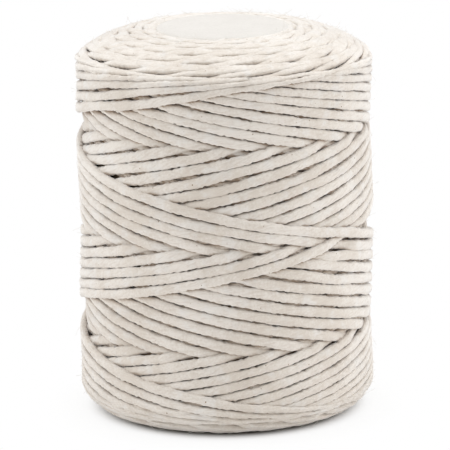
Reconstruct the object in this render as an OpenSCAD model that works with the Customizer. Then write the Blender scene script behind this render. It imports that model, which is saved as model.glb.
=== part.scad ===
// Soft cotton cord, cross-wound into a barrel on a spiral-wound board tube.
// A blank paper disc is stuck over the tube's upper end.
// The base stands at z = 0 and +Z runs up the tube's axis.

/* [Core tube] */
// Bore right through the tube
tube_bore = 32; // [24:0.5:34]
// Thickness of the smooth paper ply that lines the bore
liner_t = 0.4; // [0.3:0.1:0.8]
// Thickness of the grey board plies round the liner
board_t = 1.6; // [1:0.1:2.5]
// Height of the tube's lower end above the base
tube_recess = 0.5; // [0.2:0.1:2]

/* [Winding] */
// Diameter over the outermost turns
winding_d = 89.6; // [86:0.2:96]
// Height from the base to the top of the label
winding_h = 117; // [108:1:130]
// Height of the domed shoulder, which runs from the label's edge out to the side
shoulder_h = 8.7; // [6:0.1:10]
// Width of the rounded lower edge, in from the side
lower_edge_w = 14.8; // [11:0.2:18]
// Height of the rounded lower edge
lower_edge_h = 8.1; // [6:0.1:10]

/* [Cord] */
// Width of a turn, flattened under tension
cord_w = 3.1; // [2.6:0.05:3.2]
// Thickness of a turn
cord_t = 1.9; // [1.4:0.1:2.2]
// Clear space where turns cross
turn_gap = 0.5; // [0.45:0.01:0.6]
// Cycles of the outer turns, each one up the barrel and down again
cycles = 6; // [3:1:6]
// How sharply the cord turns back at each end, from rounded to pointed
turn_back = 0.97; // [0.95:0.005:0.985]
// Azimuth of the cord's first turn-back
turn_back_azimuth = 62; // [0:1:359]

/* [Label] */
// How far the paper disc reaches past the tube, all round
label_overlap = 2.5; // [1:0.5:6]
// Thickness of the paper disc
label_t = 0.3; // [0.2:0.05:0.6]

/* [Hidden] */
$fn = 96;

board_color = "#b39a78";
liner_color = "#c9b391";
cotton_color = "#d9d1c6";
shade_color = "#c8bfb3";
paper_color = "#f1ede6";

// Tube, and the flat seat under the label
liner_od = tube_bore + 2 * liner_t;
tube_od = liner_od + 2 * board_t;
label_d = tube_od + 2 * label_overlap;
seat_z = winding_h - label_t;
tube_len = seat_z - tube_recess;
cut_over = 1;

// Outline over the outer turns, and the height where its side meets the shoulder
winding_r = winding_d / 2;
shoulder_z = seat_z - shoulder_h;

// Turns: just under four to a cycle, so that the turn-backs are spread evenly round each end
rings_per_turn = 24;
ring_step = 360 / rings_per_turn;
turns_per_cycle = 4 - 1 / cycles;
rings_per_cycle = rings_per_turn * turns_per_cycle;

// The pattern would close on its own start, so the last few rings are left off
rings_left_off = 7;
last_ring = floor(cycles * rings_per_cycle) - rings_left_off;

// Two levels of turns, so that a rising turn can cross over a falling one
seat_gap = 0.02;
level_step = cord_t + turn_gap;
chord_share = cos(ring_step / 2);
core_r = (winding_r - 2 * cord_t - turn_gap - seat_gap) * chord_share;
lower_level_r = core_r / chord_share + seat_gap + cord_t / 2;

// The cord turns back where the side meets the rounded edges
lowest_turn_z = lower_edge_h;
highest_turn_z = shoulder_z;
swing = (highest_turn_z - lowest_turn_z) / 2;

// Both cord ends dive into a pocket in the turns below and stop square against its end
end_run = cord_w;
end_dive_r = core_r - cord_t / 2 - turn_gap;
pocket_clear = 0.4;
pocket_floor_r = end_dive_r - cord_t / 2 - pocket_clear;
pocket_len = end_run + sqrt(core_r * core_r - pocket_floor_r * pocket_floor_r) + cut_over;

// Rounded edges of the outline: [power across, power upwards], where 2 and 2 is an ellipse
shoulder_powers = [2, 1.2];
lower_edge_powers = [3.2, 1.35];

// Points of an edge from its inner end out to the core's side, closest together there
edge_steps = 14;
function edge_points(inner_r, side_z, height, powers) =
    let (width = winding_r - inner_r, core_angle = asin((core_r - inner_r) / width))
    [for (i = [0 : edge_steps])
        let (x = sin(core_angle * i / edge_steps), up = pow(1 - pow(x, powers[0]), 1 / powers[1]))
        [inner_r + width * x, side_z + height * up]];

// Rise of the cord over one cycle, from -1 at a trough to 1 at a peak
function wave(ring) =
    asin(turn_back * sin(360 * ring / rings_per_cycle - 90)) / asin(turn_back);
function ring_z(ring) = lowest_turn_z + swing * (1 + wave(min(last_ring, max(0, ring))));

// Level of the cord: 0 lies on the core while it falls, 1 crosses over while it rises
full_level = sin(360 / rings_per_cycle);
function ring_level(ring) =
    min(1, max(0, (1 + sin(360 * ring / rings_per_cycle) / full_level) / 2));

function is_end(ring) = ring < 0 || ring > last_ring;
function ring_azimuth(ring) = turn_back_azimuth + ring * ring_step;
function ring_r(ring) =
    is_end(ring) ? end_dive_r : lower_level_r + level_step * ring_level(ring);
function ring_place(ring) = [ring_r(ring), ring_z(ring)];

// Directions at an azimuth: out from the axis, and along the cord's travel
function outward(azimuth) = [sin(azimuth), -cos(azimuth), 0];
function along(azimuth) = [cos(azimuth), sin(azimuth), 0];

// A turn's section, six-sided and flat where it lies on the core: [out, up]
half_w = cord_w / 2;
half_t = cord_t / 2;
section = [
    [0, -half_w], [half_t, -half_w / 2], [half_t, half_w / 2],
    [0, half_w], [-half_t, half_w / 2], [-half_t, -half_w / 2]
];
sides = len(section);

function ring_points(ring, shift) =
    let (azimuth = ring_azimuth(ring), place = ring_place(ring))
    [for (p = section)
        outward(azimuth) * (place[0] + p[0]) + along(azimuth) * shift + [0, 0, place[1] + p[1]]];

cord_rings = concat(
    [ring_points(-1, -end_run)],
    [for (ring = [-1 : last_ring + 1]) ring_points(ring, 0)],
    [ring_points(last_ring + 1, end_run)]
);

// Clear space between two sections whose middles are this far apart: [out, up]
function edge_distance(p, a, b) =
    let (share = min(1, max(0, (p - a) * (b - a) / ((b - a) * (b - a)))))
    norm(p - a - (b - a) * share);
function section_gap(apart) =
    let (p = [abs(apart[0]), abs(apart[1])],
         tip = [0, cord_w], corner = [cord_t, half_w], crown = [cord_t, 0],
         inside = p[0] < cord_t && p[0] * (cord_w - half_w) + (p[1] - cord_w) * cord_t < 0)
    inside ? 0 : min(edge_distance(p, tip, corner), edge_distance(p, corner, crown));

// Least gap over every pair of turns at the same azimuth, at each ring and between rings
gap_steps = 4;
function between(ring, share) = ring_place(ring) * (1 - share) + ring_place(ring + 1) * share;
turn_gaps = [
    for (ring = [-1 : last_ring - rings_per_turn], step = [0 : gap_steps - 1])
        let (share = step / gap_steps, place = between(ring, share))
        for (other = [ring + rings_per_turn : rings_per_turn : last_ring])
            let (apart = between(other, share) - place)
            if (abs(apart[1]) < 2 * cord_w) section_gap(apart)
];
half_way_ring = floor(rings_per_cycle / 4);
steepest_rise = (ring_z(half_way_ring + 1) - ring_z(half_way_ring)) * rings_per_turn;
steepest_slope = steepest_rise / (PI * winding_d);
least_gap = min(turn_gaps) * chord_share * cos(atan(steepest_slope));

module ring_tube(outer_d, inner_d, length) {
    difference() {
        cylinder(h = length, d = outer_d);
        translate([0, 0, -cut_over]) cylinder(h = length + 2 * cut_over, d = inner_d);
    }
}

module core_liner() {
    color(liner_color) translate([0, 0, tube_recess]) ring_tube(liner_od, tube_bore, tube_len);
}

module core_tube() {
    color(board_color) translate([0, 0, tube_recess]) ring_tube(tube_od, liner_od, tube_len);
}

// Pocket under a cord end; travel is 1 or -1, the way the cord runs into it
module end_pocket(ring, travel) {
    place = ring_place(ring);
    rotate([0, 0, ring_azimuth(ring)])
        mirror([travel < 0 ? 1 : 0, 0, 0])
            translate([end_run - pocket_len, -core_r - cut_over, place[1] - half_w - pocket_clear])
                cube([
                    pocket_len,
                    core_r + cut_over - pocket_floor_r,
                    cord_w + 2 * pocket_clear
                ]);
}

module inner_winding() {
    lower_edge =
        edge_points(winding_r - lower_edge_w, lower_edge_h, -lower_edge_h, lower_edge_powers);
    shoulder = edge_points(label_d / 2, shoulder_z, shoulder_h, shoulder_powers);
    shoulder_inwards = [for (i = [edge_steps : -1 : 0]) shoulder[i]];
    bore = [[tube_od / 2, seat_z], [tube_od / 2, 0]];
    color(shade_color) difference() {
        rotate_extrude() polygon(concat(lower_edge, shoulder_inwards, bore));
        end_pocket(-1, -1);
        end_pocket(last_ring + 1, 1);
    }
}

module outer_winding() {
    rows = len(cord_rings);
    last = sides * (rows - 1);
    side_faces = [
        for (row = [0 : rows - 2], i = [0 : sides - 1])
            let (a = row * sides + i, b = row * sides + (i + 1) % sides)
            for (face = [[a, a + sides, b + sides], [a, b + sides, b]]) face
    ];
    start_cap = [for (i = [1 : sides - 2]) [0, i, i + 1]];
    end_cap = [for (i = [1 : sides - 2]) [last, last + i + 1, last + i]];
    color(cotton_color)
        polyhedron(
            points = [for (ring = cord_rings) each ring],
            faces = concat(side_faces, start_cap, end_cap)
        );
}

module top_label() {
    color(paper_color) translate([0, 0, seat_z]) cylinder(h = label_t, d = label_d);
}

echo(str("least gap between turns ", least_gap, " mm"));

core_liner();
core_tube();
inner_winding();
outer_winding();
top_label();
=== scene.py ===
# %% [markdown]
# # A cross-wound spool of cotton cord
# This scene dresses a spool of soft, single-strand cotton cord. The cord is wound crosswise on a
# board tube: it climbs the barrel in two turns, goes down again in two, and every cycle starts a
# little further round, so the turns build the criss-cross bands that such a spool shows.
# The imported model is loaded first. It is the fixed frame that every piece is made in, in metres.

# %% Load the frame
import math

import bmesh
import bpy
import numpy as np
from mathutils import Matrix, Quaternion, Vector


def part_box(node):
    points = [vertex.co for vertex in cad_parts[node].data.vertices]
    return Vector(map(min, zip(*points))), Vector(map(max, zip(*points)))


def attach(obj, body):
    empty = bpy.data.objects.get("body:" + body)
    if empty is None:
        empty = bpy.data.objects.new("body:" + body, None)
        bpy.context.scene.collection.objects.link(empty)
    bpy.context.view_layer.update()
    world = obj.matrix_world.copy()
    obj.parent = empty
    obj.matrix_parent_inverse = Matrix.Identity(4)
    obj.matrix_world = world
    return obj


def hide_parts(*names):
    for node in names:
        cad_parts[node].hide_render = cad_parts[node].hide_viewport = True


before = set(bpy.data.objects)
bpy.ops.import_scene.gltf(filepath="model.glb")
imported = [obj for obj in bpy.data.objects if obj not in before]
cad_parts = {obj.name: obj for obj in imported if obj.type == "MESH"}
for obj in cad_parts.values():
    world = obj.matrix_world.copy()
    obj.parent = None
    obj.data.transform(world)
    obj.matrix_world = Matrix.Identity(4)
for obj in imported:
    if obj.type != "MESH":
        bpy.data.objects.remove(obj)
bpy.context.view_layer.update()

# %% [markdown]
# ## Camera
# The spool is seen from a little above, so that its domed top shows. A short lens would make its
# sides converge. A long one from further off keeps them upright, and it is used here.
# The camera is aimed at a point on the spool's axis, then rolled a fraction of a degree.

# %% Camera
MM = 0.001
VIEW_ELEVATION = math.radians(13.5)
VIEW_DISTANCE = 1200 * MM
VIEW_AIM = Vector((-0.2, 0, 55.35)) * MM
VIEW_ROLL = math.radians(-0.72)
LENS = 316.4
NEAREST, FURTHEST = 0.05, 20


def make_camera():
    data = bpy.data.cameras.new("camera")
    data.lens = LENS
    data.clip_start, data.clip_end = NEAREST, FURTHEST
    camera = bpy.data.objects.new("camera", data)
    bpy.context.scene.collection.objects.link(camera)
    back = Vector((0, -math.cos(VIEW_ELEVATION), math.sin(VIEW_ELEVATION)))
    camera.location = VIEW_AIM + back * VIEW_DISTANCE
    camera.rotation_mode = "QUATERNION"
    level = (-back).to_track_quat("-Z", "Y")
    camera.rotation_quaternion = level @ Quaternion((0, 0, 1), VIEW_ROLL)
    return camera


bpy.context.scene.camera = make_camera()
print("camera", bpy.context.scene.camera.location)

# %% [markdown]
# ## The barrel's outline
# The finished barrel has a flat base, a tight rounded lower edge, an upright side and a low domed
# shoulder that ends under the paper disc. Turns laid on a plain cylinder would leave those ends
# bare, so every turn is laid on one surface of revolution, the skin of the barrel.
# Lengths from here on are in mm. They are turned into metres when a mesh is made.

# %% Rounded edges of the outline
SPOOL_R = 44.8
SEAT_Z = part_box("top_label")[0].z / MM
SEAT_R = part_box("top_label")[1].x / MM
TUBE_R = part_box("core_tube")[1].x / MM
FLAT_BASE_R = 30.0
SHOULDER_H, SHOULDER_POWERS = 8.7, (2.0, 1.2)
LOWER_EDGE_H, LOWER_EDGE_POWERS = 8.1, (3.2, 1.35)
SIDE_TOP = SEAT_Z - SHOULDER_H
EDGE_POINTS = 160


def edge_curve(inner_r, side_z, height, powers):
    """Points of a rounded edge, from its inner end out to the side."""
    x = np.sin(np.linspace(0, math.pi / 2, EDGE_POINTS))
    up = np.clip(1 - x ** powers[0], 0, 1) ** (1 / powers[1])
    return np.column_stack([inner_r + (SPOOL_R - inner_r) * x, side_z + height * up])


lower_edge = edge_curve(FLAT_BASE_R, LOWER_EDGE_H, -LOWER_EDGE_H, LOWER_EDGE_POWERS)
shoulder = edge_curve(SEAT_R, SIDE_TOP, SHOULDER_H, SHOULDER_POWERS)[::-1]
print("upright side from", round(lower_edge[-1, 1], 1), "to", round(shoulder[0, 1], 1), "mm")

# %% [markdown]
# The outline is kept as points an even distance apart. A place on it is its distance along the
# outline, counted so that on the upright side the place equals the height in mm.

# %% Places along the outline
OUTLINE_STEP = 0.25
NORMAL_SPAN = 9


def smoothed(values, kernel):
    """Values evened out along their length. The first and the last are repeated past the ends."""
    return np.convolve(np.pad(values, len(kernel) // 2, "edge"), kernel, "valid")


def even_outline():
    """Place, radius, height and outward normal along the outline, at even distances."""
    points = np.vstack([[(TUBE_R, 0)], lower_edge, shoulder, [(TUBE_R, SEAT_Z)]])
    length = np.concatenate([[0], np.cumsum(np.hypot(*np.diff(points, axis=0).T))])
    length += LOWER_EDGE_H - length[len(lower_edge)]
    even = np.arange(length[0], length[-1], OUTLINE_STEP)
    r, z = np.interp(even, length, points[:, 0]), np.interp(even, length, points[:, 1])
    kernel = np.ones(NORMAL_SPAN) / NORMAL_SPAN
    normal = np.column_stack([smoothed(part, kernel) for part in (np.gradient(z), -np.gradient(r))])
    return even, r, z, normal / np.linalg.norm(normal, axis=1)[:, None]


PLACE, PLACE_R, PLACE_Z, PLACE_NORMAL = even_outline()


def on_outline(place):
    """Radius, height and normal at a place along the outline."""
    normal = [np.interp(place, PLACE, PLACE_NORMAL[:, i]) for i in (0, 1)]
    return np.interp(place, PLACE, PLACE_R), np.interp(place, PLACE, PLACE_Z), *normal


print("outline from", round(PLACE[0], 1), "to", round(PLACE[-1], 1), "mm")

# %% [markdown]
# ## The cord's route
# A winding machine moves the cord up and down while the barrel turns. One cycle, up and down,
# takes a little over four turns, so each cycle is laid beside the one before.
# A screw modifier could make a helix, but not the turn-backs or the slow shift of the cycles, so
# the route is worked out turn by turn. It is sampled at fixed azimuths, the columns of a map.

# %% Turns and cycles
TURNS_PER_CYCLE = 4.057
EXTRA_TURN = TURNS_PER_CYCLE - 4
FIRST_TURN = -0.876
GIRTH = 2 * math.pi * SPOOL_R
CYCLE_LENGTH = TURNS_PER_CYCLE * GIRTH
COLUMNS = 1024
STEP = GIRTH / COLUMNS
print("a cycle takes", round(CYCLE_LENGTH), "mm of cord, sampled every", round(STEP, 2), "mm")

# %% [markdown]
# Age 0 is the last cycle. The older cycles were wound when the barrel was thinner, so they turn
# back higher on the dome and further in on the base. That is why rings of cord show on the ends.

# %% Where each cycle turns back
BOTTOM_PLACE, TOP_PLACE = 6.2, 109.0
GROWTH_PER_CYCLE = 0.24
INNERMOST_R = TUBE_R + 1.3
MID_PLACE = SEAT_Z / 2


def end_places(age):
    """Where a cycle of this age turns back: its lowest and highest place."""
    inner_r = max(on_outline(TOP_PLACE)[0] - GROWTH_PER_CYCLE * age, INNERMOST_R)
    upper, lower = PLACE > MID_PLACE, PLACE < MID_PLACE
    high = np.interp(-inner_r, -PLACE_R[upper], PLACE[upper])
    low = np.interp(inner_r, PLACE_R[lower], PLACE[lower])
    return min(low, BOTTOM_PLACE), max(high, TOP_PLACE)


print("ends of age 0", np.round(end_places(0), 1), "and of age 60", np.round(end_places(60), 1))

# %% The even route
TURN_BACK = 0.9725


def wave(phase):
    """Rise over a cycle, from -1 at phase 0 to 1 at a half and back."""
    return np.arcsin(TURN_BACK * -np.cos(2 * math.pi * phase)) / math.asin(TURN_BACK)


def even_place(age, phase):
    """Place of the cord before it strays."""
    low, high = end_places(age)
    return (low + high) / 2 + (high - low) / 2 * wave(phase)


print("a quarter of the way through age 0 the cord is at", round(even_place(0, 0.25), 1), "mm")

# %% [markdown]
# No machine lays cord quite evenly. Each turn strays a little, and its neighbours stray nearly
# alike because they lie against it, so the waves only drift slowly from one cycle to the next.

# %% Small strays
rng = np.random.default_rng(7)


def strays(count, waves_per_cycle, drift, size):
    """Waves of one size: how many to a cycle, where each starts, and how fast it drifts."""
    return [(int(rng.integers(*waves_per_cycle)), rng.uniform(0, 2 * math.pi),
             rng.uniform(*drift), size) for _ in range(count)]


LONG_STRAYS = strays(count=8, waves_per_cycle=(4, 29), drift=(0.3, 0.9), size=0.08)
SHORT_STRAYS = strays(count=10, waves_per_cycle=(36, 105), drift=(1, 5), size=0.03)


def wander(phase, age):
    """How far the cord strays from its even route, in mm."""
    return sum(size * np.sin(waves * 2 * math.pi * phase + start + drift * (age - phase))
               for waves, start, drift, size in LONG_STRAYS + SHORT_STRAYS)


def route(age, from_phase, to_phase):
    """Turn count, phase and place of the cord at every column between two phases of a cycle."""
    start = FIRST_TURN - TURNS_PER_CYCLE * age
    first, last = (start + TURNS_PER_CYCLE * phase for phase in (from_phase, to_phase))
    turn = np.arange(math.ceil(first * COLUMNS), math.floor(last * COLUMNS) + 1) / COLUMNS
    phase = (turn - start) / TURNS_PER_CYCLE
    return turn, phase, even_place(age, phase) + wander(phase, age)


print("largest stray in age 0:", round(np.abs(wander(np.linspace(0, 1, COLUMNS), 0)).max(), 2), "mm")

# %% [markdown]
# ## Laying the cord
# Real cord sinks under whatever is wound over it later. A cloth or soft-body run over ninety
# metres of cord would take hours. Here the traverses are laid from the newest to the oldest, and
# a map of the skin, the ceiling, remembers the lowest underside laid so far. An older cord is
# pressed down until it just touches that. Rising and falling traverses have a ceiling each,
# because a cord is only pressed down by those that cross it.
# A second map notes how far out the finished surface reaches, for the shade in the gaps.

# %% Maps of the skin
CORD_HALF_W = 1.52
CORD_HALF_T = 1.16
SECTION_POWER = 2.9
ROW_STEP = 0.2
ROW_MARGIN = 1.05
ROW_REACH = int(CORD_HALF_W * ROW_MARGIN / ROW_STEP) + 1
row_offsets = np.arange(-ROW_REACH, ROW_REACH + 1)
row_count = int((PLACE[-1] - PLACE[0]) / ROW_STEP) + 2 * ROW_REACH + 2
ceiling = np.full((2, COLUMNS, row_count), np.inf)
skin = np.full((COLUMNS, row_count), -np.inf)
print("map of", COLUMNS, "columns and", row_count, "rows")


# %% Cells under the cord
def map_column(turn):
    return np.round(turn * COLUMNS).astype(int)[:, None] % COLUMNS


def map_level(place):
    """Row of a place on the map, with its fraction."""
    return (place - PLACE[0]) / ROW_STEP + ROW_REACH


def footprint(turn, place, half_w):
    """Map cells under the cord, which of them it covers, its half thickness there and how far
    each is from its middle, as a share of its half width."""
    slope = np.gradient(place) / (on_outline(place)[0] * 2 * math.pi / COLUMNS)
    level = map_level(place)
    rows = np.round(level).astype(int)[:, None] + row_offsets[None, :]
    aside = np.abs(rows - level[:, None]) * ROW_STEP / np.hypot(1, slope)[:, None] / half_w[:, None]
    inside = aside < 1
    half = CORD_HALF_T * (1 - np.minimum(aside, 1) ** SECTION_POWER) ** (1 / SECTION_POWER)
    return map_column(turn) + 0 * rows, rows.clip(0, row_count - 1), inside, half, aside


print("at most", len(row_offsets), "rows of a column lie under the cord")

# %% [markdown]
# Near the ends of the barrel the turns bunch up. There each one is squeezed to the room that it
# has beside the turn of the cycle before, and on the dome it is pressed wider and flatter.

# %% How wide the cord lies
ROOM_SHARE = 0.45
NARROWEST, DOME_EXTRA = 0.7, 0.6
DOME_BLEND = 8.0


def on_dome(place):
    """0 on the side, rising to 1 well up the dome."""
    return np.clip((place - SIDE_TOP) / DOME_BLEND, 0, 1)


def half_width(age, phase, place):
    """Half the cord's width, at most what is left beside the turn of the cycle before."""
    beside = even_place(age + 1, phase + EXTRA_TURN / TURNS_PER_CYCLE)
    room = np.abs(beside - even_place(age, phase))
    return np.clip(room * ROOM_SHARE, NARROWEST + on_dome(place) * DOME_EXTRA, CORD_HALF_W)


print("half width at the top turn-back:", round(float(half_width(0, 0.5, TOP_PLACE)), 2), "mm")

# %% [markdown]
# On the side a cycle lies a little deeper than each newer one, since the barrel grew while it was
# wound. On the ends the rings lie in a row, so their depth goes by their order in that row.

# %% How deep it lies
SINK_PER_CYCLE = 0.13
SINK_CYCLES = 15
LEG_CYCLES = 2.7
SIDE_ENDS = (18.0, 97.0)
END_BLEND = 14.0
END_SINK_SHARE = 0.3


def soft_step(share):
    return share * share * (3 - 2 * share)


def cycles_sunk(age, phase, place):
    """Cycles that lie over a place: its age on the side, its order in the row on the ends."""
    turn_back_phase = np.where(place > MID_PLACE, 0.5, np.round(phase))
    cycles_to_turn_back = (turn_back_phase - phase) * TURNS_PER_CYCLE / EXTRA_TURN
    in_row = np.clip(LEG_CYCLES - cycles_to_turn_back, 0, SINK_CYCLES)
    past = np.maximum(SIDE_ENDS[0] - place, place - SIDE_ENDS[1]) / END_BLEND
    share = soft_step(np.clip(past, 0, 1))
    return min(age, SINK_CYCLES) * (1 - share) + in_row * share * END_SINK_SHARE


print("age 5 lies", round(SINK_PER_CYCLE * cycles_sunk(5, 0.25, MID_PLACE), 2), "mm deep half way up")

# %% How far turns sink into each other
SOFTNESS = 0.95
SQUEEZE_RATE = 1.8
DOME_SQUEEZE = 0.74


def softness(turn, place):
    """How far two turns may sink into each other. Squeezed neighbours flatten far more."""
    pitch = EXTRA_TURN * np.abs(np.gradient(place, turn))
    squeeze = (1 - pitch / (2 * CORD_HALF_W)) * SQUEEZE_RATE
    squeeze = np.clip(np.maximum(squeeze, on_dome(place) * DOME_SQUEEZE), 0, 1)
    return SOFTNESS + (2 * CORD_HALF_T - SOFTNESS - SINK_PER_CYCLE) * squeeze


print("crossing turns sink from", SOFTNESS, "to", round(2 * CORD_HALF_T - SINK_PER_CYCLE, 2), "mm")

# %% [markdown]
# A tight cord bends in long curves. Where a newer turn presses it down, it can't come straight
# up again beside that turn. So its height may only rise from there along a shallow curve, and
# the result is blurred along its length.

# %% Long, tight curves
DEEPEST = 1.5
BEND = 0.11
EASE = 1.2
BLUR_REACH = 3


def relax(height):
    """Highest smooth curve under the given heights, as a tight cord takes."""
    reach = int(math.sqrt(2 * DEEPEST / BEND) / STEP) + 1
    offsets = np.arange(-reach, reach + 1)
    padded = np.pad(height, reach, "edge")
    lift = BEND / 2 * (offsets * STEP) ** 2
    curve = np.min([padded[reach + o: reach + o + len(height)] + up
                    for o, up in zip(offsets, lift)], axis=0)
    spread = int(BLUR_REACH * EASE / STEP)
    kernel = np.exp(-(np.arange(-spread, spread + 1) * STEP / EASE) ** 2 / 2)
    return smoothed(curve, kernel / kernel.sum())


print("a pressed cord rises back", DEEPEST, "mm over", round(math.sqrt(2 * DEEPEST / BEND), 1), "mm")

# %% [markdown]
# Laying a traverse puts these together. The cord lies at its own depth, or lower where the ones
# that cross over it press it down, and it shows where nothing newer covers its cells. Then its
# upper face goes on the map of the finished surface, and its underside on the ceiling.

# %% Lay one traverse
SEEN_ASIDE = 0.9


def lay(age, turn, phase, place, upward):
    """Height of the cord's middle against the skin, its half width, what shows, and its cover."""
    half_w = half_width(age, phase, place)
    columns, rows, inside, half, aside = footprint(turn, place, half_w)
    bare = np.isinf(ceiling[:, columns, rows]).all(axis=0)
    shows = (bare & (aside < SEEN_ASIDE)).sum(axis=1) > 1
    above = np.where(inside, ceiling[1 - upward, columns, rows] - half, np.inf).min(axis=1)
    rest = -CORD_HALF_T - SINK_PER_CYCLE * cycles_sunk(age, phase, place)
    allowed = np.minimum(rest, above + softness(turn, place))
    height = relax(np.maximum(allowed, rest - DEEPEST))
    cover = {"cells": (columns, rows), "inside": inside, "underside": height[:, None] - half,
             "upward": upward}
    return height, half_w, shows, cover


def raise_skin(cover, height):
    """Note on the map of the finished surface how far out the cord's upper face reaches."""
    columns, rows = (part[cover["inside"]] for part in cover["cells"])
    top = 2 * height[:, None] - cover["underside"]
    np.maximum.at(skin, (columns, rows), top[cover["inside"]])


def lower_ceiling(cover, keep):
    """Note on the ceiling how far in the cord's underside reaches, at the samples to keep."""
    chosen = cover["inside"] & keep[:, None]
    columns, rows = (part[chosen] for part in cover["cells"])
    np.minimum.at(ceiling[cover["upward"]], (columns, rows), cover["underside"][chosen])


print("a cord shows where bare cells lie within", SEEN_ASIDE, "of its half width")

# %% [markdown]
# The newest cycles are laid whole. Of the older ones only the parts near the turn-backs are laid,
# because the rest is buried. The cord's loose end is tucked in under a turn.

# %% Traverses, newest first
CYCLES = 108
OLDEST_WHOLE = 24
END_PHASE = 0.14
TAIL_PHASE = 0.078
TUCK_LENGTH = 24.0
TUCK_ASIDE, TUCK_DEPTH = 3.4, 2.7


def traverses():
    """Age, phases and direction of every traverse, where 1 is rising and 0 is falling."""
    yield -1, (0.0, TAIL_PHASE), 1
    for age in range(CYCLES):
        if age <= OLDEST_WHOLE:
            yield age, (0.5, 1.0), 0
            yield age, (0.0, 0.5), 1
        else:
            yield age, (0.5, 0.5 + END_PHASE), 0
            yield age, (0.5 - END_PHASE, 0.5), 1
            yield age, (0.0, END_PHASE), 1
            yield age, (-END_PHASE, 0.0), 0


def tuck_in(turn, place, height):
    """The cord's loose end, led aside and down under its neighbour."""
    from_end = (turn[-1] - turn) * GIRTH / TUCK_LENGTH
    tuck = (1 + np.cos(math.pi * np.clip(from_end, 0, 1))) / 2
    return place + TUCK_ASIDE * tuck, height - TUCK_DEPTH * tuck


print(len(list(traverses())), "traverses to lay")

# %% [markdown]
# Each traverse runs on a little into the next one, which is the same cord. That joint lowers the
# ceiling only after the next traverse is laid, or the cord would press itself down.

# %% Lay them all
OVERLAP, JOINT_SPARE = 7.0, 6.0
LAP = OVERLAP / CYCLE_LENGTH
JOINT = int((OVERLAP + JOINT_SPARE) / STEP)

laid, held_back = [], None
for age, phases, upward in traverses():
    turn, phase, place = route(age, phases[0] - LAP, phases[1] + LAP)
    height, half_w, shows, cover = lay(age, turn, phase, place, upward)
    if age < 0:
        place, height = tuck_in(turn, place, height)
    raise_skin(cover, height)
    joint = np.arange(len(turn)) < JOINT
    lower_ceiling(cover, ~joint)
    if held_back is not None:
        lower_ceiling(*held_back)
    held_back = cover, joint
    laid.append({"turn": turn, "place": place, "height": height, "half_w": half_w, "shows": shows})
print("share of the map left bare:", round(np.isinf(ceiling).all(axis=0).mean(), 3))

# %% [markdown]
# ## Keeping what can be seen
# Most of the cord is buried. As a mesh it would be millions of faces that nobody sees. A stretch
# is kept where it lay on bare cells of the map, with some hidden cord at either end so that its
# ends are out of sight.

# %% Keep what can be seen
SIGHT_MARGIN = 4.5
SHORTEST = 8
SIGHT_SPAN = 5


def visible_runs(shows):
    """Start and end of each stretch that shows, with some hidden cord at either end."""
    seen = np.convolve(shows, np.ones(SIGHT_SPAN), "same") > SIGHT_SPAN - 1.5
    wide = np.convolve(seen, np.ones(2 * int(SIGHT_MARGIN / STEP) + 1), "same") > 0.5
    edges = np.flatnonzero(np.diff(np.concatenate([[0], wide.astype(int), [0]])))
    return [(a, b) for a, b in zip(edges[::2], edges[1::2]) if b - a > int(SHORTEST / STEP)]


runs = [(one, start, stop) for one in laid for start, stop in visible_runs(one["shows"])]
seen_length = sum(stop - start for _, start, stop in runs) * STEP * MM
print("cord that shows", round(seen_length, 2), "m in", len(runs), "runs")

# %% [markdown]
# ## Cord meshes
# Each stretch is a flattened tube. A curve with a bevel would give it one round section all
# along. Rings of points do better: each stands square to the route, wide along the skin and thin
# across it, and its width follows the squeeze. Most of its points are on the side that shows.

# %% Section of the cord
SIDES_OUT, SIDES_IN = 15, 4


def section_outline():
    """Across and out shares round the section, and the share of the way round of each point."""
    outer = np.linspace(0, math.pi, SIDES_OUT)
    inner = np.linspace(math.pi, 2 * math.pi, SIDES_IN + 2)[1:-1]
    angle = np.concatenate([outer, inner])
    power = 2 / SECTION_POWER
    across = np.sign(np.cos(angle)) * np.abs(np.cos(angle)) ** power
    out = np.sign(np.sin(angle)) * np.abs(np.sin(angle)) ** power
    return across, out, np.append(angle, 2 * math.pi) / (2 * math.pi)


ACROSS, OUT, AROUND = section_outline()
SIDES = len(ACROSS)
print("a ring of the cord has", SIDES, "points")

# %% [markdown]
# Soft cord is never quite even. It swells, is squashed here and there, and its edges are lumpy.
# A few sine waves of mixed lengths, added up, give each of these along the whole cord.

# %% Uneven cord
WAVES, WAVE_RATES, WAVE_STARTS = 6, (0.5, 2.0), (0, 6.28)
WAVE_SUM = 2.4
SWELL_SIZE, SWELL_RATE = 0.035, 0.35
SQUASH_SIZE, SQUASH_RATE = 0.04, 0.21
LUMP_SIZE, LUMP_RATE = 0.13, 1.9


def smooth_noise(x, rate, seed):
    """A wavy value along x, of size about 1, with no repeat that shows."""
    waves = np.random.default_rng(seed)
    return sum(np.sin(rate * waves.uniform(*WAVE_RATES) * x + waves.uniform(*WAVE_STARTS))
               for _ in range(WAVES)) / WAVE_SUM


def swell_and_squash(length):
    """How much thicker the cord is along its length, and how much wider for its height."""
    return (1 + SWELL_SIZE * smooth_noise(length, SWELL_RATE, seed=3),
            1 + SQUASH_SIZE * smooth_noise(length, SQUASH_RATE, seed=4))


def edge_lumps(length):
    """How far each edge of the cord bulges, in mm, for every point of every ring."""
    right, left = (LUMP_SIZE * smooth_noise(length, LUMP_RATE, seed) for seed in (5, 6))
    return np.where(ACROSS > 0, right[:, None], left[:, None])


print("swell over a metre:", np.round(swell_and_squash(np.arange(0, 1000, 250))[0], 3))
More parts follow.
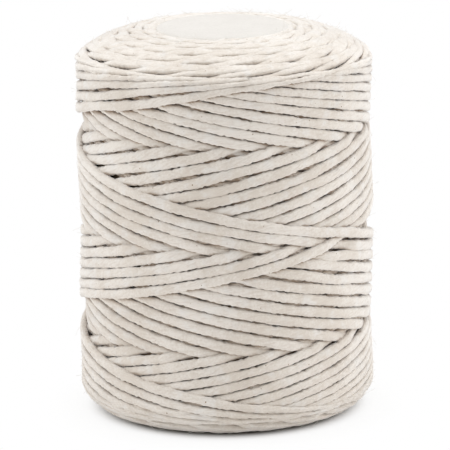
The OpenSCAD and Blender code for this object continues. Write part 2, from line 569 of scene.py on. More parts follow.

# %% [markdown]
# Hardly any light gets down between two turns, so the cotton looks brown there, and that shade is
# painted. The maps know how steeply the turn beside each point rises over it. That is stored on the
# points as a shade, for the material to paint into the colour, because it stays right from every
# side.

# %% Shade in the gaps
SHADE_REACH = (0.25, 0.5, 0.8, 1.2, 1.7)
OPEN_SLOPE, DEEP_SLOPE = 0.3, 2.0
# The painted shade is weaker low on the barrel, where the pale floor throws light up into the gaps,
# and high on the dome, which the softbox above lights well. It is strongest just below the shoulder.
SHADE_PLACES = (0, 100, 106, 113, 120)
SHADE_SHARES = (0.7, 1.0, 1.6, 1.3, 0.3)


def shade_in_gaps(turn, place, level, aside):
    """From 0 in the open to 1 down a gap, by how steeply the turn beside a point rises over it."""
    steepest = np.zeros(level.shape)
    for reach in SHADE_REACH:
        beside = place[:, None] + aside + np.sign(aside) * reach
        row = np.round(map_level(beside)).astype(int).clip(0, row_count - 1)
        steepest = np.maximum(steepest, (skin[map_column(turn), row] - level) / reach)
    share = np.clip((steepest - OPEN_SLOPE) / (DEEP_SLOPE - OPEN_SLOPE), 0, 1)
    by_place = np.interp(place, SHADE_PLACES, SHADE_SHARES)[:, None]
    return np.minimum(soft_step(share) * by_place, 1)


print("shade is read up to", SHADE_REACH[-1], "mm beside a point")

# %% [markdown]
# The sweep puts these together. Each stretch tapers at both hidden ends, and on the dome it is
# flatter but keeps its upper face at the same level.

# %% Skin under the cord, and its ends
END_LENGTH, END_SHARE = 2.4, 0.02


def skin_points(turn, place):
    """Points on the skin of the barrel, and the way out from it at each."""
    azimuth = 2 * math.pi * np.asarray(turn)
    r, z, normal_r, normal_z = on_outline(place)
    out = np.column_stack([np.sin(azimuth) * normal_r, -np.cos(azimuth) * normal_r, normal_z])
    return np.column_stack([np.sin(azimuth) * r, -np.cos(azimuth) * r, z]), out


def end_taper(run):
    """Size of the cord along a stretch: whole in the middle and small at its ends."""
    along = np.cumsum(run)
    from_end = np.minimum(along - along[0], along[-1] - along)
    return np.sqrt(np.clip(from_end / END_LENGTH, END_SHARE, 1))


print("the barrel's foremost point half way up:", np.round(skin_points([0.0], [MID_PLACE])[0], 1))

# %% Sweep the cord
RING_STEP = 0.8
FEWEST_RINGS = 4
DOME_FLATTER, DOME_WIDER = 0.36, 0.08


def sweep(one, start, stop):
    """Ring points of one stretch in metres, the length along the cord, and the shade on them."""
    rings = max(FEWEST_RINGS, int((stop - start) * STEP / RING_STEP))
    at = np.linspace(start, stop - 1, rings)
    turn, place, height, half_w = (np.interp(at, np.arange(len(one["turn"])), one[key])
                                   for key in ("turn", "place", "height", "half_w"))
    middle, out = skin_points(turn, place)
    middle = middle + out * height[:, None]
    ahead = np.gradient(middle, axis=0)
    run = np.linalg.norm(ahead, axis=1)
    across = np.cross(out, ahead / run[:, None])
    across /= np.linalg.norm(across, axis=1)[:, None]

    length = turn * GIRTH
    taper, dome = end_taper(run), on_dome(place)
    swell, squash = swell_and_squash(length)
    wide = half_w * swell * squash * taper * (1 + DOME_WIDER * dome)
    thick = CORD_HALF_T * swell / squash * taper * (1 - DOME_FLATTER * dome)
    lift = CORD_HALF_T * (DOME_FLATTER * dome - 1 + taper)
    aside = (wide[:, None] + edge_lumps(length)) * ACROSS[None, :]
    level = lift[:, None] + thick[:, None] * OUT[None, :]

    points = (middle[:, None, :] + across[:, None, :] * aside[:, :, None]
              + out[:, None, :] * level[:, :, None])
    points[:, :, 2] = np.maximum(points[:, :, 2], 0)
    shade = shade_in_gaps(turn, place, height[:, None] + level, aside)
    return points * MM, length * MM, shade


swept = [sweep(*run) for run in runs]
print(sum(len(points) for points, _, _ in swept), "rings swept")

# %% [markdown]
# The stretches are gathered into pieces of a size that other programs can open with ease. The
# faces get coordinates of their own, the length along the cord and the share of the way round
# it, so that a streak in the cotton can follow the cord wherever it goes.

# %% Faces of a stretch
def tube_faces(first, length):
    """Faces between the rings of one stretch, and the cord coordinates of their corners."""
    i, j = np.meshgrid(np.arange(len(length) - 1), np.arange(SIDES), indexing="ij")
    a, b = first + i * SIDES + j, first + i * SIDES + (j + 1) % SIDES
    u0, u1, v0, v1 = length[i], length[i + 1], AROUND[j], AROUND[j + 1]
    return (np.stack([a, b, b + SIDES, a + SIDES], axis=-1).reshape(-1, 4),
            np.stack([u0, v0, u0, v1, u1, v1, u1, v0], axis=-1).reshape(-1, 2))


def tube_caps(first, length):
    """The two faces that close a stretch, and the cord coordinates of their corners."""
    ring = np.arange(SIDES)
    ends = (first + ring[::-1]), (first + (len(length) - 1) * SIDES + ring)
    return [end.tolist() for end in ends], [(at, 0.5) for at in (length[0], length[-1]) for _ in ring]


print("faces of the first stretch:", len(tube_faces(0, swept[0][1])[0]))


# %% Mesh of one piece
def new_piece(name, mesh):
    piece = bpy.data.objects.new(name, mesh)
    bpy.context.scene.collection.objects.link(piece)
    return piece


def cord_piece(name, stretches):
    """One object from several swept stretches, each closed at both ends."""
    quads, uvs, caps, cap_uvs, first = [], [], [], [], 0
    for points, length, _ in stretches:
        stretch_quads, stretch_uvs = tube_faces(first, length)
        stretch_caps, stretch_cap_uvs = tube_caps(first, length)
        quads += stretch_quads.tolist()
        uvs.append(stretch_uvs)
        caps += stretch_caps
        cap_uvs += stretch_cap_uvs
        first += len(points) * SIDES
    mesh = bpy.data.meshes.new(name)
    mesh.from_pydata(np.vstack([points.reshape(-1, 3) for points, _, _ in stretches]), [],
                     quads + caps)
    corners = np.vstack(uvs + [cap_uvs]).astype(np.float32)
    mesh.uv_layers.new(name="cord").uv.foreach_set("vector", corners.ravel())
    mesh.polygons.foreach_set("use_smooth", [True] * len(quads) + [False] * len(caps))
    shade = mesh.attributes.new("shade", "FLOAT", "POINT")
    shade.data.foreach_set("value", np.concatenate([part.ravel() for _, _, part in stretches]))
    mesh.update()
    return new_piece(name, mesh)


print("faces to a ring:", SIDES)

# %% Cord pieces
TRIANGLES_PER_PIECE = 150000


def batches(stretches):
    """The stretches in lots, each of about the size that one piece may have."""
    lot, triangles = [], 0
    for stretch in stretches:
        lot.append(stretch)
        triangles += len(stretch[0]) * SIDES * 2
        if triangles > TRIANGLES_PER_PIECE:
            yield lot
            lot, triangles = [], 0
    if lot:
        yield lot


cord_pieces = [cord_piece(f"cord_turns_{number:02d}", lot)
               for number, lot in enumerate(batches(swept), 1)]
print(len(cord_pieces), "cord pieces")

# %% [markdown]
# ## Loose fibres
# Cotton is spun from fibres a few centimetres long, and some always work loose: their ends stand
# off the cord, or a short loop of one does. They blur the cord's edges and cross the gaps.
# Particle hair could grow them, but it leaves no mesh. Here each fibre is a spline of one curve
# with a round bevel, rooted on an open face of the cord, and the whole is then made a mesh.

# %% Roots of the fibres
FIBRES = 5000
OPEN_SHADE, OPEN_FACE = 0.25, 0.2
fibre_rng = np.random.default_rng(19)


def fibre_roots():
    """Places on the cord's open faces: the point, the way ahead and the way out, for each fibre."""
    found = []
    for points, _, shade in swept:
        middle = points.mean(axis=1, keepdims=True)
        ahead = np.gradient(middle, axis=0) + 0 * points
        bare = (shade < OPEN_SHADE) & (OUT > OPEN_FACE)
        found.append(np.concatenate([points, ahead, points - middle], axis=2)[bare])
    found = np.vstack(found)
    chosen = found[fibre_rng.choice(len(found), FIBRES, replace=False)]
    root, ahead, out = np.split(chosen, 3, axis=1)
    return root, *(way / np.linalg.norm(way, axis=1)[:, None] for way in (ahead, out))


roots = fibre_roots()
print("first root", np.round(roots[0][0], 4))

# %% Paths of the fibres
FIBRE_POINTS = 5
FIBRE_R = 0.035
FIBRE_LENGTHS, FIBRE_LIFTS = (1.2, 3.6), (0.06, 0.32)
FIBRE_VEER, FIBRE_CURL = 0.25, 0.3
LOOPED_SHARE = 0.5
END_RISE_POWER = 1.5


def fibre_paths():
    """The points of each fibre. Half of them are loops, and half have an end that stands off."""
    root, ahead, out = (part[:, None, :] for part in roots)
    one_each = (FIBRES, 1, 1)
    aside = np.cross(out, ahead)
    share = np.linspace(0, 1, FIBRE_POINTS)[None, :, None]
    veer, curl = (fibre_rng.normal(0, spread, one_each) for spread in (FIBRE_VEER, FIBRE_CURL))
    length, lift = (fibre_rng.uniform(*span, one_each) * MM for span in (FIBRE_LENGTHS, FIBRE_LIFTS))
    back = fibre_rng.choice([-1, 1], one_each)
    looped = fibre_rng.random(one_each) < LOOPED_SHARE
    rise = np.where(looped, np.sin(math.pi * share), share ** END_RISE_POWER)
    run = length * share
    drop = run ** 2 / (2 * SPOOL_R * MM)
    way = (ahead * np.cos(veer) + aside * np.sin(veer)) * back
    paths = root + way * run + aside * curl * run * share + out * (lift * rise - FIBRE_R * MM - drop)
    paths[:, :, 2] = np.maximum(paths[:, :, 2], FIBRE_R * MM)
    return paths


paths = fibre_paths()
print("the first fibre ends", round(math.dist(paths[0, 0], paths[0, -1]) / MM, 1), "mm from its root")


# %% Loose fibres
def make_fibres():
    data = bpy.data.curves.new("loose_fibres", "CURVE")
    data.dimensions = "3D"
    data.bevel_depth = FIBRE_R * MM
    data.bevel_resolution = 0
    data.use_fill_caps = True
    for path in paths:
        spline = data.splines.new("POLY")
        spline.points.add(FIBRE_POINTS - 1)
        spline.points.foreach_set("co", np.column_stack([path, np.ones(FIBRE_POINTS)]).ravel())
    strands = bpy.data.objects.new("strands", data)
    mesh = bpy.data.meshes.new_from_object(strands)
    bpy.data.objects.remove(strands)
    return new_piece("loose_fibres", mesh)


loose_fibres = make_fibres()
print("loose fibres", FIBRES, "faces", len(loose_fibres.data.polygons))

# %% [markdown]
# ## Packed core
# Through the gaps between turns one sees only more cotton, packed and in deep shade. The buried turns
# could be modelled too, at the cost of many faces. One body of revolution a few millimetres
# under the skin does as well: the outline, set inwards and spun, with a bore for the tube.
# Its dark colour is painted shade.

# %% Spin a profile
WELD = 1e-6


def spun(profile, segments, closed=False):
    """A bmesh that a profile of radii and heights, in mm, sweeps out round the axis."""
    mesh = bmesh.new()
    verts = [mesh.verts.new((r * MM, 0, z * MM)) for r, z in profile]
    following = verts[1:] + verts[:1] if closed else verts[1:]
    edges = [mesh.edges.new(pair) for pair in zip(verts, following)]
    bmesh.ops.spin(mesh, geom=verts + edges, cent=(0, 0, 0), axis=(0, 0, 1),
                   angle=2 * math.pi, steps=segments, use_merge=True)
    bmesh.ops.remove_doubles(mesh, verts=mesh.verts, dist=WELD)
    bmesh.ops.recalc_face_normals(mesh, faces=mesh.faces)
    return mesh


def spun_piece(name, mesh):
    data = bpy.data.meshes.new(name)
    mesh.to_mesh(data)
    mesh.free()
    return new_piece(name, data)


print("points within", WELD, "m of each other are welded")

# %% Packed core
CORE_DEPTH = 4.0
CORE_POINT_EVERY = 8
CORE_SEGMENTS = 96
TUBE_CLEAR = 0.01


def core_profile():
    """The outline, set inwards and closed along the tube."""
    r, z, normal_r, normal_z = on_outline(PLACE[::CORE_POINT_EVERY])
    inset = zip(r - CORE_DEPTH * normal_r, z - CORE_DEPTH * normal_z)
    points = [point for point in inset if point[0] > TUBE_R + TUBE_CLEAR]
    return [(TUBE_R, points[0][1])] + points + [(TUBE_R, points[-1][1])]


packed_core = spun_piece("packed_core", spun(core_profile(), CORE_SEGMENTS, closed=True))
print("packed core", [round(v, 4) for v in packed_core.dimensions])

# %% [markdown]
# ## Node helpers
# Every finish below is built from the same few nodes: noise, a soft threshold, a blend of two
# colours and a little arithmetic. Wiring them by hand would hide the recipe in the typing, so
# each helper adds one node and returns its output.

# %% Add a node
def give(tree, socket, value):
    """Link an output to a socket, or set a plain value on it. A colour gets its alpha here."""
    if isinstance(value, bpy.types.NodeSocket):
        tree.links.new(value, socket)
    elif socket.type == "RGBA":
        socket.default_value = (*value, 1)
    else:
        socket.default_value = value


def add(tree, kind, inputs=None, **settings):
    """A new node. Its inputs are given as plain values, or as outputs to link."""
    made = tree.nodes.new("ShaderNode" + kind)
    for name, value in settings.items():
        setattr(made, name, value)
    for socket, value in (inputs or {}).items():
        give(tree, made.inputs[socket], value)
    return made


print("nodes and sockets as in Blender", bpy.app.version_string)


# %% Arithmetic, noise and colour
def maths(tree, operation, first, second=0.0):
    return add(tree, "Math", {0: first, 1: second}, operation=operation).outputs[0]


def times(tree, first, second):
    return maths(tree, "MULTIPLY", first, second)


def plus(tree, first, second):
    return maths(tree, "ADD", first, second)


def ranged(tree, share, least, span):
    """A value that starts at the least and grows by the span as the share goes from 0 to 1."""
    return plus(tree, times(tree, share, span), least)


def noise(tree, vector, scale, detail=2.0):
    return add(tree, "TexNoise", {"Vector": vector, "Scale": scale, "Detail": detail}).outputs[0]


def threshold(tree, value, low, high):
    """0 below low, 1 above high, and a soft step between."""
    limits = {0: value, 1: low, 2: high}
    return add(tree, "MapRange", limits, interpolation_type="SMOOTHSTEP").outputs[0]


def blend(tree, share, first, second):
    """The first colour where the share is 0, the second where it is 1."""
    return add(tree, "Mix", {0: share, 6: first, 7: second}, data_type="RGBA").outputs[2]


def object_place(tree):
    return add(tree, "TexCoord").outputs["Object"]


print("helpers for arithmetic, noise and colour are ready")

# %% Helpers for groups and materials
def make_group(name, colours, results):
    """A node group that takes colours and gives the results, each named with its kind."""
    tree = bpy.data.node_groups.new(name, "ShaderNodeTree")
    for colour in colours:
        tree.interface.new_socket(colour, in_out="INPUT", socket_type="NodeSocketColor")
    for result, kind in results.items():
        tree.interface.new_socket(result, in_out="OUTPUT", socket_type="NodeSocket" + kind)
    given, taken = (tree.nodes.new(end) for end in ("NodeGroupInput", "NodeGroupOutput"))
    return tree, given.outputs, taken.inputs


def use_group(tree, group, **colours):
    return add(tree, "Group", colours, node_tree=group).outputs


def new_material(name):
    material = bpy.data.materials.new(name)
    material.use_nodes = True
    tree = material.node_tree
    return material, tree, tree.nodes["Principled BSDF"]


def dress(tree, shader, colour, roughness, height):
    """Link a finish to the shader. The height is in metres."""
    bump = add(tree, "Bump", {"Height": height, "Distance": 1.0})
    tree.links.new(colour, shader.inputs["Base Color"])
    tree.links.new(roughness, shader.inputs["Roughness"])
    tree.links.new(bump.outputs[0], shader.inputs["Normal"])


print("helpers for groups and materials are ready")

# %% [markdown]
# ## Raw cotton
# Unbleached cotton is never one colour. It is cream with warmer patches and paler, cooler ones,
# and a few brown specks of seed husk stay in it. All the cotton here shares this.
# It could be painted on by hand, but noise in object space runs on from turn to turn without
# a seam, as the patches on the real spool do. Its scales are in waves to the metre.

# %% Raw cotton
PATCH_SCALE, PATCH_SHARE = 55.0, 0.75
MOTTLE_SCALE = 420.0
GRAIN_SCALE, GRAIN_SHARE = 1500.0, 0.45
WARM_EDGES = (0.36, 0.66)
PALE_SCALE, PALE_SHARE, PALE_EDGES = 190.0, 0.45, (0.52, 0.68)
HUSK_SCALE, HUSK_EDGES, HUSK_COLOUR = 1300.0, (0.855, 0.88), (0.27, 0.17, 0.09)


def make_raw_cotton():
    tree, given, taken = make_group("raw_cotton", ("Cream", "Warm", "Cool"), {"Color": "Color"})
    place = object_place(tree)
    patches = times(tree, noise(tree, place, PATCH_SCALE, 3.0), PATCH_SHARE)
    mottle = times(tree, noise(tree, place, MOTTLE_SCALE), 1 - PATCH_SHARE)
    grain = maths(tree, "SUBTRACT", noise(tree, place, GRAIN_SCALE), 0.5)
    share = plus(tree, plus(tree, patches, mottle), times(tree, grain, GRAIN_SHARE))
    cotton = blend(tree, threshold(tree, share, *WARM_EDGES), given["Cream"], given["Warm"])
    pale = threshold(tree, noise(tree, place, PALE_SCALE, 3.0), *PALE_EDGES)
    cotton = blend(tree, times(tree, pale, PALE_SHARE), cotton, given["Cool"])
    husk = threshold(tree, noise(tree, place, HUSK_SCALE, 0.0), *HUSK_EDGES)
    tree.links.new(blend(tree, husk, cotton, HUSK_COLOUR), taken["Color"])
    return tree


RAW_COTTON = make_raw_cotton()
print("sockets of raw cotton:", [socket.name for socket in RAW_COTTON.interface.items_tree])

# %% [markdown]
# ## Cord cotton
# The cord is one thick strand of many soft yarns with very little twist. Its relief has three
# scales: yarns half a millimetre wide, fibres far finer, and shallow lumps a few millimetres long.
# The streaks follow the cord, so they are drawn in the cord's own coordinates: length along it,
# and angle round it, which turns slowly along the length as the strand's twist does.

# %% Streaks along the cord
TWIST_LENGTH = 0.045
STRAND_R = 0.0016
YARN_W, YARN_STRETCH = 0.00045, 0.14
FIBRE_W, FIBRE_STRETCH = 0.00013, 0.10


def on_strand(tree):
    """Length along the cord, and the angle round it, which the twist turns."""
    length, round_share, _ = add(tree, "SeparateXYZ", {
        0: add(tree, "UVMap", uv_map="cord").outputs[0]}).outputs
    twist = maths(tree, "DIVIDE", length, TWIST_LENGTH)
    return length, times(tree, plus(tree, round_share, twist), 2 * math.pi)


def streaks(tree, length, angle, width, stretch):
    """Noise at a point that travels round the strand, squeezed along it so that it streaks."""
    across = times(tree, maths(tree, "COSINE", angle), STRAND_R)
    out = times(tree, maths(tree, "SINE", angle), STRAND_R)
    along = times(tree, length, stretch)
    point = add(tree, "CombineXYZ", {0: along, 1: across, 2: out}).outputs[0]
    return noise(tree, point, 1 / width, 1.0)


yarn_sizes = [round(size / MM, 2) for size in (YARN_W, YARN_W / YARN_STRETCH)]
print("width and length of a yarn in the relief:", yarn_sizes, "mm")

# %% [markdown]
# Furrows between the yarns get a little painted shade. Down between two turns the shade on the points
# takes the colour to brown as painted shade. A soft sheen stands in for the fuzz that is too fine to
# model.

# %% Cord cotton
YARN_HEIGHT = 0.0001
FIBRE_HEIGHT = 0.00003
LUMP_SCALE, LUMP_HEIGHT = 330.0, 0.00022
FURROW_SHADE_EDGES, FURROW_SHADE_SHARE, FURROW_SHADE_COLOUR = (0.52, 0.30), 0.4, (0.64, 0.57, 0.50)
GAP_SHADE_SHARE, GAP_SHADE_COLOUR = 0.9, (0.26, 0.175, 0.11)


def make_cord_cotton():
    material, tree, shader = new_material("cord_cotton")
    length, angle = on_strand(tree)
    yarns = streaks(tree, length, angle, YARN_W, YARN_STRETCH)
    fibres = streaks(tree, length, angle, FIBRE_W, FIBRE_STRETCH)
    lumps = noise(tree, object_place(tree), LUMP_SCALE, 5.0)
    raw = use_group(tree, RAW_COTTON, Cream=(0.83, 0.785, 0.73), Warm=(0.72, 0.66, 0.59),
                    Cool=(0.83, 0.82, 0.80))["Color"]
    # Painted shade in the furrows between the yarns.
    furrow_shade = times(tree, threshold(tree, yarns, *FURROW_SHADE_EDGES), FURROW_SHADE_SHARE)
    streaked = blend(tree, furrow_shade, raw, FURROW_SHADE_COLOUR)
    # Painted shade down the gaps between turns, read from the shade on the points.
    shade = add(tree, "Attribute", attribute_name="shade").outputs["Fac"]
    shaded = blend(tree, times(tree, shade, GAP_SHADE_SHARE), streaked, GAP_SHADE_COLOUR)
    height = plus(tree, times(tree, yarns, YARN_HEIGHT), times(tree, fibres, FIBRE_HEIGHT))
    height = plus(tree, height, times(tree, lumps, LUMP_HEIGHT))
    dress(tree, shader, shaded, ranged(tree, fibres, least=0.82, span=0.16), height)
    shader.inputs["Sheen Weight"].default_value = 0.9
    shader.inputs["Sheen Roughness"].default_value = 0.45
    shader.inputs["Specular IOR Level"].default_value = 0.2
    return material


cord_cotton = make_cord_cotton()
for piece in cord_pieces:
    piece.data.materials.append(cord_cotton)
print("finish of the cord:", cord_cotton.name)

# %% [markdown]
# The imported turns and the loose fibres are the same cotton. The turns out of sight get far darker
# tones as painted shade, because so little light reaches them. A single fibre lets light through, so
# it is painted paler for that light.

# %% Packed cotton and fibre cotton
def make_plain_cotton(name, tones, grain, rough, gloss):
    """Cotton without streaks. Its grain has a scale, a detail and a depth in metres."""
    material, tree, shader = new_material(name)
    cream, warm, cool = tones
    raw = use_group(tree, RAW_COTTON, Cream=cream, Warm=warm, Cool=cool)["Color"]
    scale, detail, depth = grain
    fibres = noise(tree, object_place(tree), scale, detail)
    dress(tree, shader, raw, ranged(tree, fibres, *rough), times(tree, fibres, depth))
    shader.inputs["Specular IOR Level"].default_value = gloss
    return material


# Painted shade: the buried cotton gets dark tones for the little light that reaches it.
packed_core.data.materials.append(make_plain_cotton(
    "packed_cotton_painted_shade", tones=((0.30, 0.215, 0.145), (0.20, 0.135, 0.085), (0.28, 0.22, 0.165)),
    grain=(2600.0, 2.0, 0.0002), rough=(0.88, 0.1), gloss=0.1))
# Painted light: the fibres are paler for the light that passes through them.
loose_fibres.data.materials.append(make_plain_cotton(
    "fibre_cotton", tones=((0.88, 0.85, 0.81), (0.80, 0.75, 0.69), (0.87, 0.86, 0.85)),
    grain=(900.0, 1.0, 0.00002), rough=(0.6, 0.2), gloss=0.3))
print("cotton:", [material.name for material in bpy.data.materials])

# %% [markdown]
# ## Paper and board
# The label, the tube's board and its liner are all paper pulp: long fibres lying every way, seen
# as faint pale and dark hairs, and a fine tooth. A scan of paper could be wrapped round them, but
# it would show a seam. One group of bent noise makes them all, and each material sets its own
# two colours.

# %% Paper pulp
BEND_SCALE, BEND_SIZE = 300.0, (0.004, 0.004, 0.004)
HAIR_SCALE, HAIR_SHARE = 1500.0, 0.6
CLOUD_SCALE = 120.0
PULP_EDGES, PULP_HEIGHT = (0.40, 0.62), 0.00004


def make_paper_pulp():
    tree, given, taken = make_group(
        "paper_pulp", ("Pale", "Dark"), {"Color": "Color", "Roughness": "Float", "Height": "Float"})
    place = object_place(tree)
    bend = add(tree, "TexNoise", {"Vector": place, "Scale": BEND_SCALE}).outputs["Color"]
    swirl = add(tree, "VectorMath", {0: bend, 1: BEND_SIZE}, operation="MULTIPLY").outputs[0]
    bent = add(tree, "VectorMath", {0: place, 1: swirl}, operation="ADD").outputs[0]
    hairs = noise(tree, bent, HAIR_SCALE, 3.0)
    clouds = times(tree, noise(tree, place, CLOUD_SCALE, 3.0), 1 - HAIR_SHARE)
    share = plus(tree, times(tree, hairs, HAIR_SHARE), clouds)
    colour = blend(tree, threshold(tree, share, *PULP_EDGES), given["Pale"], given["Dark"])
    tree.links.new(colour, taken["Color"])
    tree.links.new(ranged(tree, hairs, least=0.78, span=0.15), taken["Roughness"])
    tree.links.new(times(tree, hairs, PULP_HEIGHT), taken["Height"])
    return tree


PAPER_PULP = make_paper_pulp()
print("sockets of paper pulp:", [socket.name for socket in PAPER_PULP.interface.items_tree])

# %% [markdown]
# Fingers and the cord's fuzz leave the rim of the label a little darker. An image of that would
# have to be lined up with the disc. Drawn by the distance from the axis, it lines up by itself.

# %% Label paper
RIM_IN, RIM_OUT = 0.0012, 0.0002
RIM_SHARE, RIM_COLOUR = 0.2, (0.70, 0.65, 0.58)


def polar(tree, place):
    """Distance from the axis, the share of a turn round it, and the height."""
    x, y, z = add(tree, "SeparateXYZ", {0: place}).outputs
    radius = maths(tree, "SQRT", plus(tree, times(tree, x, x), times(tree, y, y)))
    turned = maths(tree, "DIVIDE", maths(tree, "ARCTAN2", y, x), 2 * math.pi)
    return radius, turned, z


def make_label_paper():
    material, tree, shader = new_material("label_paper")
    pulp = use_group(tree, PAPER_PULP, Pale=(0.72, 0.70, 0.67), Dark=(0.68, 0.66, 0.63))
    radius = polar(tree, object_place(tree))[0]
    rim = threshold(tree, radius, SEAT_R * MM - RIM_IN, SEAT_R * MM + RIM_OUT)
    worn = blend(tree, times(tree, rim, RIM_SHARE), pulp["Color"], RIM_COLOUR)
    dress(tree, shader, worn, pulp["Roughness"], pulp["Height"])
    return material


label_paper = make_label_paper()
print("finish of the disc:", label_paper.name)

# %% [markdown]
# A board tube is wound from strips of paper at a slant. The edges of a strip meet in a seam that
# climbs the tube, and at the cut end the plies show as rings with glue between them. The solids
# from the frame keep their shape and take this finish, so the marks are drawn by height, angle
# and distance from the axis.

# %% Spiral-wound board and its liner
STRIP_W = 0.055
PLY_STEP = 0.0004
SEAM_EDGES, GLUE_EDGES = (0.008, 0.003), (0.26, 0.10)
MARK_DARKNESS, MARK_DEPTH = 0.45, 0.00008


def make_tube_paper(name, pale, dark, mark_share):
    material, tree, shader = new_material(name)
    pulp = use_group(tree, PAPER_PULP, Pale=pale, Dark=dark)
    radius, turned, z = polar(tree, object_place(tree))
    strip = maths(tree, "FRACT", plus(tree, maths(tree, "DIVIDE", z, STRIP_W), turned))
    from_seam = maths(tree, "ABSOLUTE", maths(tree, "SUBTRACT", strip, 0.5))
    ply = maths(tree, "FRACT", maths(tree, "DIVIDE", radius, PLY_STEP))
    seam, glue = threshold(tree, from_seam, *SEAM_EDGES), threshold(tree, ply, *GLUE_EDGES)
    marks = times(tree, maths(tree, "MAXIMUM", seam, glue), mark_share)
    colour = blend(tree, marks, pulp["Color"], tuple(part * MARK_DARKNESS for part in dark))
    height = maths(tree, "SUBTRACT", pulp["Height"], times(tree, marks, MARK_DEPTH))
    dress(tree, shader, colour, pulp["Roughness"], height)
    return material


def finish_node(node, material):
    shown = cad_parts[node].data
    shown.materials.clear()
    shown.materials.append(material)


finish_node("core_tube", make_tube_paper(
    "tube_board", pale=(0.50, 0.40, 0.29), dark=(0.38, 0.29, 0.20), mark_share=0.7))
finish_node("core_liner", make_tube_paper(
    "tube_liner", pale=(0.60, 0.48, 0.34), dark=(0.50, 0.38, 0.25), mark_share=0.5))
print("all materials:", [material.name for material in bpy.data.materials])

# %% [markdown]
# ## Paper disc
# A round of plain paper is stuck over the tube's upper end. It lies flat on the tube, sags a
# little over the open bore, and its rim is pulled down on to the innermost turns, which show
# through as gentle waves. A squashed cylinder would have no sag, so its section is spun instead,
# from the axis out along the underside and back along the top. Each point is then moved up or
# down to the height of the paper there, and the cut edge gets a small bevel to catch the light.

# %% Height of the paper
LABEL_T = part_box("top_label")[1].z / MM - SEAT_Z
BORE_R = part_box("core_liner")[1].x / MM
BORE_SAG = 0.12
RIM_DROP, RIM_WAVE, WAVE_DROP = 0.75, 0.06, 1.2
RIM_WAVES = ((9, 1, 1.0), (23, 0, 0.7), (41, 0, 0.5))


def disc_height(radius, azimuth):
    """Height of the paper above a flat one, in mm."""
    sag = BORE_SAG * max(0, 1 - (radius / BORE_R) ** 2)
    out = max(0, (radius - TUBE_R) / (SEAT_R - TUBE_R))
    waves = sum(share * math.sin(count * azimuth + start) for count, start, share in RIM_WAVES)
    return -sag - RIM_DROP * out ** 2 + RIM_WAVE * (waves - WAVE_DROP) * out / 2


print("paper at the rim lies", round(disc_height(SEAT_R, 0), 2), "mm from flat")

# %% Paper disc
DISC_RADII = (0, 2, 5, 8, 11, 13.5, 15.2, BORE_R, 17, TUBE_R, 18.6, 19.3, 20, SEAT_R)
DISC_SEGMENTS = 144
SHARP, CUT_EDGE = 1.0, 0.06


def make_disc():
    underside = [(r, SEAT_Z) for r in DISC_RADII]
    top = [(r, SEAT_Z + LABEL_T) for r in DISC_RADII[::-1]]
    mesh = spun(underside + top, DISC_SEGMENTS)
    for vert in mesh.verts:
        x, y, _ = vert.co / MM
        vert.co.z += disc_height(math.hypot(x, y), math.atan2(y, x)) * MM
    cut = [edge for edge in mesh.edges if abs(edge.calc_face_angle(0)) > SHARP]
    bmesh.ops.bevel(mesh, geom=cut, offset=CUT_EDGE * MM, offset_type="OFFSET", segments=2,
                    profile=0.5, affect="EDGES", material=-1)
    piece = spun_piece("paper_disc", mesh)
    piece.data.polygons.foreach_set("use_smooth", [True] * len(piece.data.polygons))
    piece.data.materials.append(label_paper)
    return piece


paper_disc = make_disc()
print("paper disc", [round(v, 4) for v in paper_disc.dimensions])

# %% [markdown]
# ## Bodies
# Nothing on the spool moves, so every piece rides on the root body. The cord pieces stand in for
# both winding solids and the disc for the label's solid, which are hidden, and the tube and its
# liner go on showing their own solids.

# %% Ride
for piece in (*cord_pieces, packed_core, loose_fibres):
    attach(piece, "root")
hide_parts("outer_winding", "inner_winding")
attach(paper_disc, "root")
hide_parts("top_label")
print(len(cord_pieces) + 3, "pieces ride on the root")

# %% [markdown]
# ## Floor
# The spool stands on a white sweep. Lighting that to pure white would wash out the cord, so the
# floor shows white to the camera by itself, and keeps its own shade only close round the spool.
# There it darkens towards the foot, in three rings that fade into one another. The innermost is a
# painted shadow, a darker floor colour close round the foot. All of this is
# for camera rays alone. To the light that bounces, the floor is a plain pale one.

# %% Floor
FLOOR_SIZE = 6
# Painted shadow: inside the contact reach, camera rays see the floor in a darker colour.
CONTACT_SHADOW_REACH = (0.034, 0.042)
SHADOW_REACH = (0.0355, 0.0435)
FAINT_REACH, FAINT_SHARE = (0.0435, 0.058), 0.12
FLOOR_COLOUR, CONTACT_SHADOW_COLOUR = (0.93, 0.92, 0.91), (0.30, 0.27, 0.24)
WHITE = (1, 1, 1)


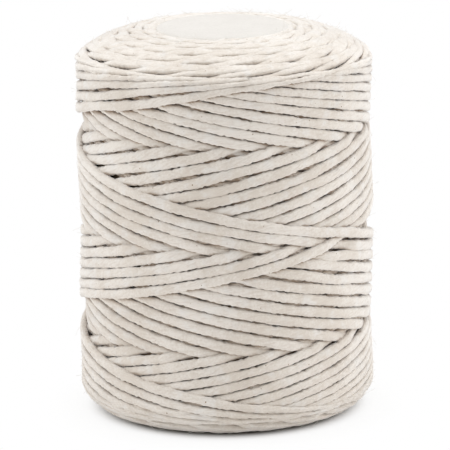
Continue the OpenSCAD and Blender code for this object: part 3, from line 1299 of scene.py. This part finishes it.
def make_floor():
    bpy.ops.mesh.primitive_plane_add(size=FLOOR_SIZE, location=(0, 0, 0))
    floor = bpy.context.object
    floor.name = "floor"
    material, tree, shader = new_material("floor")
    shader.inputs["Roughness"].default_value = 1.0
    bright = add(tree, "Emission", {"Color": WHITE, "Strength": 1.0}).outputs[0]
    seen = add(tree, "LightPath").outputs["Is Camera Ray"]
    radius = polar(tree, object_place(tree))[0]
    # Painted shadow close round the foot, for camera rays only.
    contact_shadow = times(tree, threshold(tree, radius, *CONTACT_SHADOW_REACH[::-1]), seen)
    tree.links.new(blend(tree, contact_shadow, FLOOR_COLOUR, CONTACT_SHADOW_COLOUR), shader.inputs["Base Color"])
    near_white = times(tree, threshold(tree, radius, *SHADOW_REACH), 1 - FAINT_SHARE)
    all_white = times(tree, threshold(tree, radius, *FAINT_REACH), FAINT_SHARE)
    share = times(tree, plus(tree, near_white, all_white), seen)
    mixed = add(tree, "MixShader", {0: share, 1: shader.outputs[0], 2: bright}).outputs[0]
    tree.links.new(mixed, tree.nodes["Material Output"].inputs[0])
    floor.data.materials.append(material)
    return floor


print("floor", make_floor().dimensions)

# %% [markdown]
# ## Light
# Cotton is matt and pale, so its turns are only told apart by the shadows between them. An even
# surround lights every face, one large softbox overhead puts a shadow under each turn, and two
# weak ones at the sides round off the barrel. Sharper lamps would make the cord look hard.

# %% Surround
LIGHT_COLOUR = (1.0, 0.993, 0.985)
SURROUND_STRENGTH = 0.645


def make_world():
    """Soft light for the spool, and plain white behind it for the camera."""
    world = bpy.data.worlds.new("studio")
    bpy.context.scene.world = world
    world.use_nodes = True
    tree = world.node_tree
    light = tree.nodes["Background"]
    light.inputs["Color"].default_value = (*LIGHT_COLOUR, 1)
    light.inputs["Strength"].default_value = SURROUND_STRENGTH
    white = add(tree, "Background", {"Color": WHITE, "Strength": 1.0}).outputs[0]
    seen = add(tree, "LightPath").outputs["Is Camera Ray"]
    mixed = add(tree, "MixShader", {0: seen, 1: light.outputs[0], 2: white}).outputs[0]
    tree.links.new(mixed, tree.nodes["World Output"].inputs[0])


make_world()
print("surround", SURROUND_STRENGTH)

# %% Softboxes
LAMP_AIM = Vector((0, 0, 0.055))


def make_softbox(name, place, width, watts):
    """A round lamp, in metres, that faces the middle of the spool."""
    data = bpy.data.lights.new(name, "AREA")
    data.shape = "DISK"
    data.size = width
    data.energy = watts
    data.color = LIGHT_COLOUR
    lamp = bpy.data.objects.new(name, data)
    lamp.location = place
    lamp.rotation_mode = "QUATERNION"
    lamp.rotation_quaternion = (LAMP_AIM - Vector(place)).to_track_quat("-Z", "Y")
    bpy.context.scene.collection.objects.link(lamp)


make_softbox("top_softbox", place=(0.0, 0.05, 1.05), width=0.8, watts=5.7)
make_softbox("left_softbox", place=(-1.0, 0.1, 0.3), width=0.6, watts=2.1)
make_softbox("right_softbox", place=(1.0, 0.1, 0.3), width=0.6, watts=2.7)
bpy.context.scene.view_settings.view_transform = "Standard"
print("lamps:", [lamp.name for lamp in bpy.data.lights])
